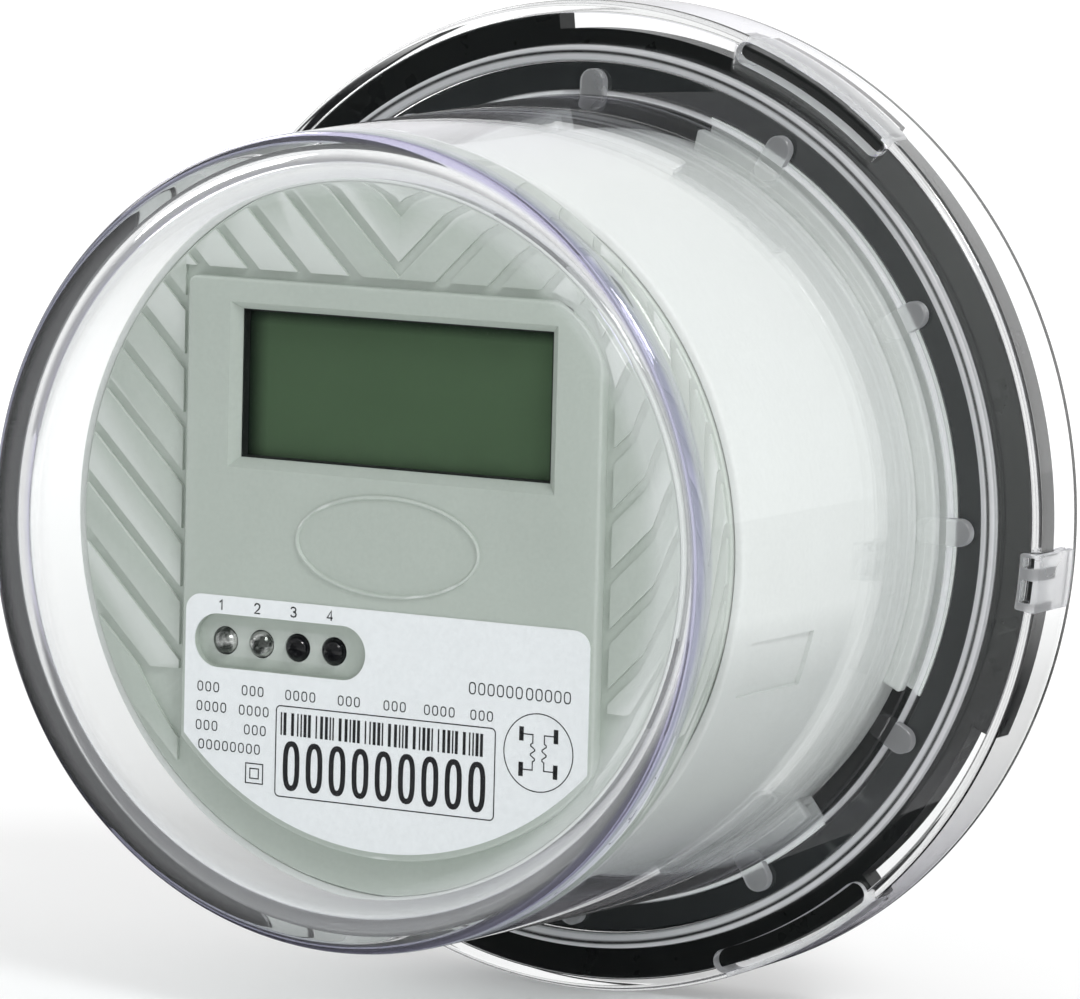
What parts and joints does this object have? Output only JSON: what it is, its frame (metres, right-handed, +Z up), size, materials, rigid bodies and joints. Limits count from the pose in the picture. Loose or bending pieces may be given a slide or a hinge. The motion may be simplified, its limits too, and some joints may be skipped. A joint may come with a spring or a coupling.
{
  "type": "electric meter",
  "caption": "Round socket-mounted electric meter: clear twist-on cover, pale faceplate with display window and lamps, black base, four plug-in blades.",
  "frame": {"origin": "on the meter's axis, in the plane of the rear edge of the cover's skirt, where the meter seats on its socket", "axes": "-Y is the way the meter faces, along its axis; +Z is up; +X is to the right of someone looking at its face"},
  "size_m": [0.1774, 0.1325, 0.1764],
  "materials": {
    "clear_polycarbonate": "clear moulded polycarbonate, polished",
    "gasket_rubber": "matt dark grey rubber",
    "black_base": "black moulded plastic, semi-gloss",
    "pale_housing": "pale grey-green moulded plastic, fine matt",
    "pale_faceplate": "grey-green moulded plastic, fine spark texture",
    "label_film": "white polyester film with black print",
    "clear_lamp": "water-clear epoxy",
    "dark_lamp": "dark infrared-pass epoxy",
    "display_glass": "dark green reflective liquid-crystal glass",
    "holder_plastic": "dark grey plastic",
    "contact_rubber": "layered conductive rubber",
    "circuit_board": "green solder mask on glass-epoxy",
    "steel_screws": "zinc-plated steel",
    "plated_copper": "tin-plated copper, bright",
    "steel_pins": "bare spring steel",
    "transformer_core": "wound core in a black moulded case",
    "chip_plastic": "black epoxy",
    "capacitor_plastic": "yellow film-capacitor case",
    "crystal_can": "bright can",
    "capacitor_can": "dark blue sleeve",
    "varistor_coating": "blue epoxy coat",
    "battery_can": "bare can with sleeve",
    "socket_plastic": "natural nylon",
    "ribbon_plastic": "grey flat cable",
    "lead_insulation": "red and white PVC insulation"
  },
  "bodies": {
    "meter": {"cover_gasket": "gasket_rubber", "base": "black_base", "inner_housing": "pale_housing", "faceplate": "pale_faceplate", "nameplate": "label_film", "led_impulse": "clear_lamp", "led_reverse": "clear_lamp", "ir_transmitter": "dark_lamp", "ir_receiver": "dark_lamp", "lcd_panel": "display_glass", "lcd_holder": "holder_plastic", "zebra_strips": "contact_rubber", "display_board": "circuit_board", "display_screws": "steel_screws", "blade_line": "plated_copper", "blade_load": "plated_copper", "blade_neutral_upper": "plated_copper", "blade_neutral_lower": "plated_copper", "blade_pins": "steel_pins", "current_bar": "plated_copper", "neutral_link": "plated_copper", "current_transformer": "transformer_core", "main_board": "circuit_board", "board_screws": "steel_screws", "metering_chip": "chip_plastic", "processor_chip": "chip_plastic", "dropper_capacitor": "capacitor_plastic", "clock_crystal": "crystal_can", "smoothing_capacitors": "capacitor_can", "varistor": "varistor_coating", "backup_battery": "battery_can", "ribbon_sockets": "socket_plastic", "ribbon_cable": "ribbon_plastic", "ct_leads": "lead_insulation", "voltage_leads": "lead_insulation", "housing_screws": "steel_screws"},
    "cover_body": {"cover": "clear_polycarbonate"}
  },
  "joints": [
    {"name": "cover_turn", "type": "hinge", "parent": "meter", "child": "cover_body", "pos_m": [0, 0, 0], "axis": [0, -1, 0], "range_deg": [0, 21]}
  ]
}
